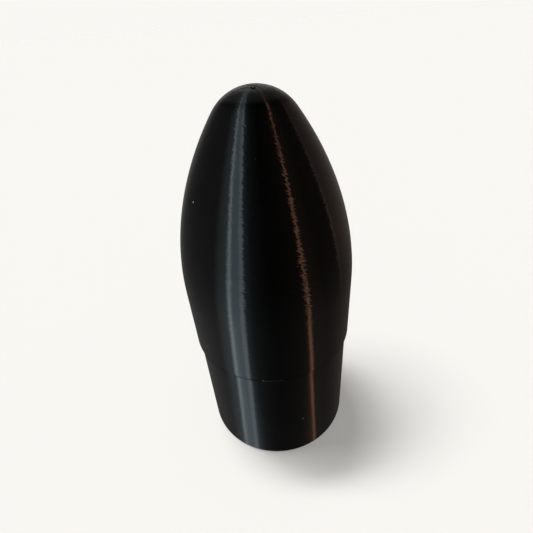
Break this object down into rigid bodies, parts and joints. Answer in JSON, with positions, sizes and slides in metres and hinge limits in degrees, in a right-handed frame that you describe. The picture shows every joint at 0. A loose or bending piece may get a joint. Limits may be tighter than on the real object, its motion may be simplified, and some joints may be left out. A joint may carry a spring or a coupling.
{
  "type": "model rocket nose cone",
  "caption": "Hollow black printed ogive nose cone for a model rocket, with a stepped shoulder sleeve, bulkhead, ballast stack, eye bolt and split ring.",
  "frame": {"origin": "centre of the shoulder's bottom rim, on the plane that the cone stands on", "axes": "+Z along the cone's axis to the tip; the bolt's eye lies in the XZ plane"},
  "size_m": [0.066, 0.066, 0.1477],
  "materials": {
    "printed_plastic": "black PLA, printed in 0.2 mm layers, semi-gloss along the layers",
    "plywood": "birch plywood, bare, five plies",
    "zinc_steel": "bright zinc plate",
    "ballast_steel": "punched zinc-plated steel, slightly dull",
    "black_steel": "black oxide",
    "nickel_steel": "nickel-plated spring steel",
    "brass": "knurled brass",
    "nylon": "natural nylon"
  },
  "bodies": {
    "shoulder": {"shoulder_sleeve": "printed_plastic", "bulkhead": "plywood", "eye_bolt": "zinc_steel", "clamp_washer_lower": "zinc_steel", "clamp_washer_upper": "zinc_steel", "clamp_nut": "zinc_steel", "lock_nut": "zinc_steel", "lock_nut_ring": "nylon", "ballast_washer_1": "ballast_steel", "ballast_washer_2": "ballast_steel", "ballast_washer_3": "ballast_steel", "ballast_washer_4": "ballast_steel", "ballast_washer_5": "ballast_steel", "ballast_washer_6": "ballast_steel", "ballast_washer_7": "ballast_steel", "ballast_washer_8": "ballast_steel", "bulkhead_screw_1": "black_steel", "bulkhead_screw_2": "black_steel", "bulkhead_screw_3": "black_steel", "bulkhead_screw_4": "black_steel", "thread_insert_1": "brass", "thread_insert_2": "brass", "thread_insert_3": "brass", "thread_insert_4": "brass"},
    "shell": {"nose_shell": "printed_plastic"},
    "ring": {"split_ring": "nickel_steel"}
  },
  "joints": [
    {"name": "shell_pull", "type": "slide", "parent": "shoulder", "child": "shell", "axis": [0, 0, 1], "range_m": [0, 0.025]},
    {"name": "ring_swing", "type": "hinge", "parent": "shoulder", "child": "ring", "pos_m": [0, 0, 0.0233], "axis": [1, 0, 0], "range_deg": [-115, 115]}
  ]
}
